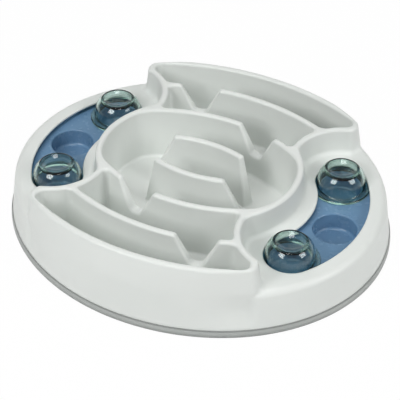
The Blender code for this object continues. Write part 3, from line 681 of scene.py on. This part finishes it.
def seen_white(name, colour, seen_share):
    """A white that the camera, mirrors and clear pieces see, over a lit surface."""
    mat, nodes, link, shader, place = new_material(name)
    nodes.remove(shader)
    lit = nodes.new("ShaderNodeBsdfDiffuse")
    darker = tuple(PAPER_SHADE * c for c in colour)
    link(clouded(nodes, link, place, PAPER_SCALE, colour, darker), lit.inputs["Color"])
    glow = nodes.new("ShaderNodeEmission")
    path = nodes.new("ShaderNodeLightPath")
    seen = path.outputs["Is Camera Ray"]
    for other in ("Is Glossy Ray", "Is Transmission Ray"):
        either = nodes.new("ShaderNodeMath")
        either.operation = "MAXIMUM"
        link(seen, either.inputs[0])
        link(path.outputs[other], either.inputs[1])
        seen = either.outputs["Value"]
    share = nodes.new("ShaderNodeMath")
    share.operation = "MULTIPLY"
    share.inputs[1].default_value = seen_share
    link(seen, share.inputs[0])
    mix = nodes.new("ShaderNodeMixShader")
    link(share.outputs["Value"], mix.inputs["Fac"])
    link(lit.outputs["BSDF"], mix.inputs[1])
    link(glow.outputs["Emission"], mix.inputs[2])
    link(mix.outputs["Shader"], nodes["Material Output"].inputs["Surface"])
    return mat


def wear(obj, mat):
    """Give a piece its one material."""
    obj.data.materials.clear()
    obj.data.materials.append(mat)
    return obj


# The object

white = moulded_plastic(
    "white_plastic", colour=(0.74, 0.766, 0.74), shade=(0.72, 0.749, 0.723),
    roughness=0.42, grain_scale=2600.0, grain_depth=0.00004)
blue = moulded_plastic(
    "blue_plastic", colour=(0.135, 0.255, 0.402), shade=(0.129, 0.245, 0.388),
    roughness=0.26, grain_scale=2200.0, grain_depth=0.00003)
# The ring's grey is painted darker as shade by height: fully at its bottom edge, fading out by 5.6 mm,
# and again in the band from 7.4 mm up against the skirt, where the groove's shade falls.
painted_shade_colour = (0.21, 0.223, 0.214)
painted_shade_shares = ((0.5, 1.0), (5.6, 0.0), (7.4, 0.0), (8.0, 0.8))
grey = moulded_plastic(
    "grey_rubber", colour=(0.41, 0.428, 0.414), shade=(0.372, 0.391, 0.377),
    roughness=0.45, grain_scale=1500.0, grain_depth=0.00008, painted_shade=(painted_shade_colour, painted_shade_shares))
teal = clear_plastic(
    "clear_teal", colour=(0.96, 0.99, 0.98), shade=(0.94, 0.98, 0.97),
    tint=(0.40, 0.61, 0.55), density=200.0, shadow=(0.34, 0.37, 0.37))
steel = plated_metal("plated_steel", colour=(0.62, 0.62, 0.60), shade=(0.52, 0.52, 0.51))

shell_low = (-SKIRT_A - MARGIN, -SKIRT_B - MARGIN, 0.0)
shell_high = (SKIRT_A + MARGIN, SKIRT_B + MARGIN, RIM + MARGIN)
shell = field_object("moulded_shell", shell_field, shell_low, shell_high, SHELL_STEP, SHELL_KEEP)
wear(shell, white)
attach(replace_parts(shell, "bowl_shell"), "base")

low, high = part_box("tray_right")
tray_low = tuple(v / MM - MARGIN for v in low)
tray_high = tuple(v / MM + MARGIN for v in high)
right_tray = field_object("treat_tray_right", tray_field, tray_low, tray_high, TRAY_STEP, TRAY_KEEP)
wear(right_tray, blue)
left_tray = half_turn(right_tray, "treat_tray_left")
for tray, node in ((right_tray, "tray_right"), (left_tray, "tray_left")):
    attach(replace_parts(tray, node), "base")

ring = wear(make_ring("rubber_ring"), grey)
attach(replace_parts(ring, "non_slip_ring"), "base")

for node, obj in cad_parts.items():
    if node.startswith("cover_"):
        cover = wear(make_cover(node), teal)
        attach(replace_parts(cover, node), node)
    elif node.startswith("tray_screw_"):
        wear(obj, steel)

# Stage, light and camera

STAGE_SIZE = 6.0
BACKDROP_PLACE, BACKDROP_SHARE = (-1.15, 2.22, 0), 0.44
WORLD_COLOUR = (0.97, 0.985, 1.0, 1)
WORLD_LIGHT, WORLD_MIRRORED = 0.06, 0.28
AZIMUTH, ELEVATION = math.radians(27.3), math.radians(40)
DISTANCE = 1.450
SHIFT_RIGHT, SHIFT_UP = -0.00095, 0.043
SENSOR_WIDTH, FOCAL_LENGTH, CLIP_START = 36, 130.5, 0.01


def paper_sheet(name, mat, place, turn=(0, 0, 0)):
    """A large flat sheet of the stage."""
    bpy.ops.mesh.primitive_plane_add(size=STAGE_SIZE, location=place, rotation=turn)
    sheet = bpy.context.object
    sheet.name = name
    return wear(sheet, mat)


def studio_world(name):
    """A dim surround that is brighter in mirrors and through clear pieces."""
    world = bpy.data.worlds.new(name)
    world.use_nodes = True
    nodes = world.node_tree.nodes
    link = world.node_tree.links.new
    back = nodes["Background"]
    back.inputs["Color"].default_value = WORLD_COLOUR
    path = nodes.new("ShaderNodeLightPath")
    mirrored = nodes.new("ShaderNodeMath")
    mirrored.operation = "MAXIMUM"
    link(path.outputs["Is Glossy Ray"], mirrored.inputs[0])
    link(path.outputs["Is Transmission Ray"], mirrored.inputs[1])
    level = nodes.new("ShaderNodeMapRange")
    level.inputs["To Min"].default_value = WORLD_LIGHT
    level.inputs["To Max"].default_value = WORLD_MIRRORED
    link(mirrored.outputs["Value"], level.inputs["Value"])
    link(level.outputs["Result"], back.inputs["Strength"])
    return world


def softbox(name, place, target, side, power):
    """A large soft square lamp that faces a point."""
    lamp = bpy.data.lights.new(name, "AREA")
    lamp.shape = "RECTANGLE"
    lamp.size = side
    lamp.size_y = side
    lamp.energy = power
    obj = bpy.data.objects.new(name, lamp)
    scene.collection.objects.link(obj)
    obj.location = place
    facing = Vector(target) - Vector(place)
    obj.rotation_euler = facing.to_track_quat("-Z", "Y").to_euler()
    return obj


paper = seen_white("pale_paper", colour=(0.86, 0.86, 0.86), seen_share=0.98)
floor = paper_sheet("floor", paper, (0, 0, 0))
floor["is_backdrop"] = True
backdrop = paper_sheet("backdrop", paper, BACKDROP_PLACE, (math.pi / 2, 0, AZIMUTH))
backdrop.scale.y = BACKDROP_SHARE
backdrop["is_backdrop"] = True

scene = bpy.context.scene
scene.view_settings.view_transform = "Standard"
scene.world = studio_world("studio")

softbox("key_left", place=(-0.41, -1.21, 1.01), target=(0, 0, 0.05), side=0.7, power=12.4)
softbox("key_right", place=(1.385, -0.02, 0.85), target=(0, 0, 0.05), side=0.7, power=9.9)
softbox("top", place=(0.16, -0.32, 1.68), target=(0, 0, 0), side=0.65, power=10.2)
back_lamp = softbox("back", place=(-0.6, 0.9, 1.1), target=(0, 0, 0), side=1.0, power=4.4)
back_lamp.visible_glossy = False

level = math.cos(ELEVATION)
towards = Vector((math.sin(AZIMUTH) * level, -math.cos(AZIMUTH) * level, math.sin(ELEVATION)))
right = Vector((math.cos(AZIMUTH), math.sin(AZIMUTH), 0))
up = towards.cross(right)
lens = bpy.data.cameras.new("photo_camera")
lens.sensor_width = SENSOR_WIDTH
lens.lens = FOCAL_LENGTH
lens.clip_start = CLIP_START
camera = bpy.data.objects.new("photo_camera", lens)
scene.collection.objects.link(camera)
camera.location = Vector((0, 0, RIM * MM)) + towards * DISTANCE - right * SHIFT_RIGHT - up * SHIFT_UP
camera.rotation_euler = (-towards).to_track_quat("-Z", "Y").to_euler()
scene.camera = camera

low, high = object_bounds()
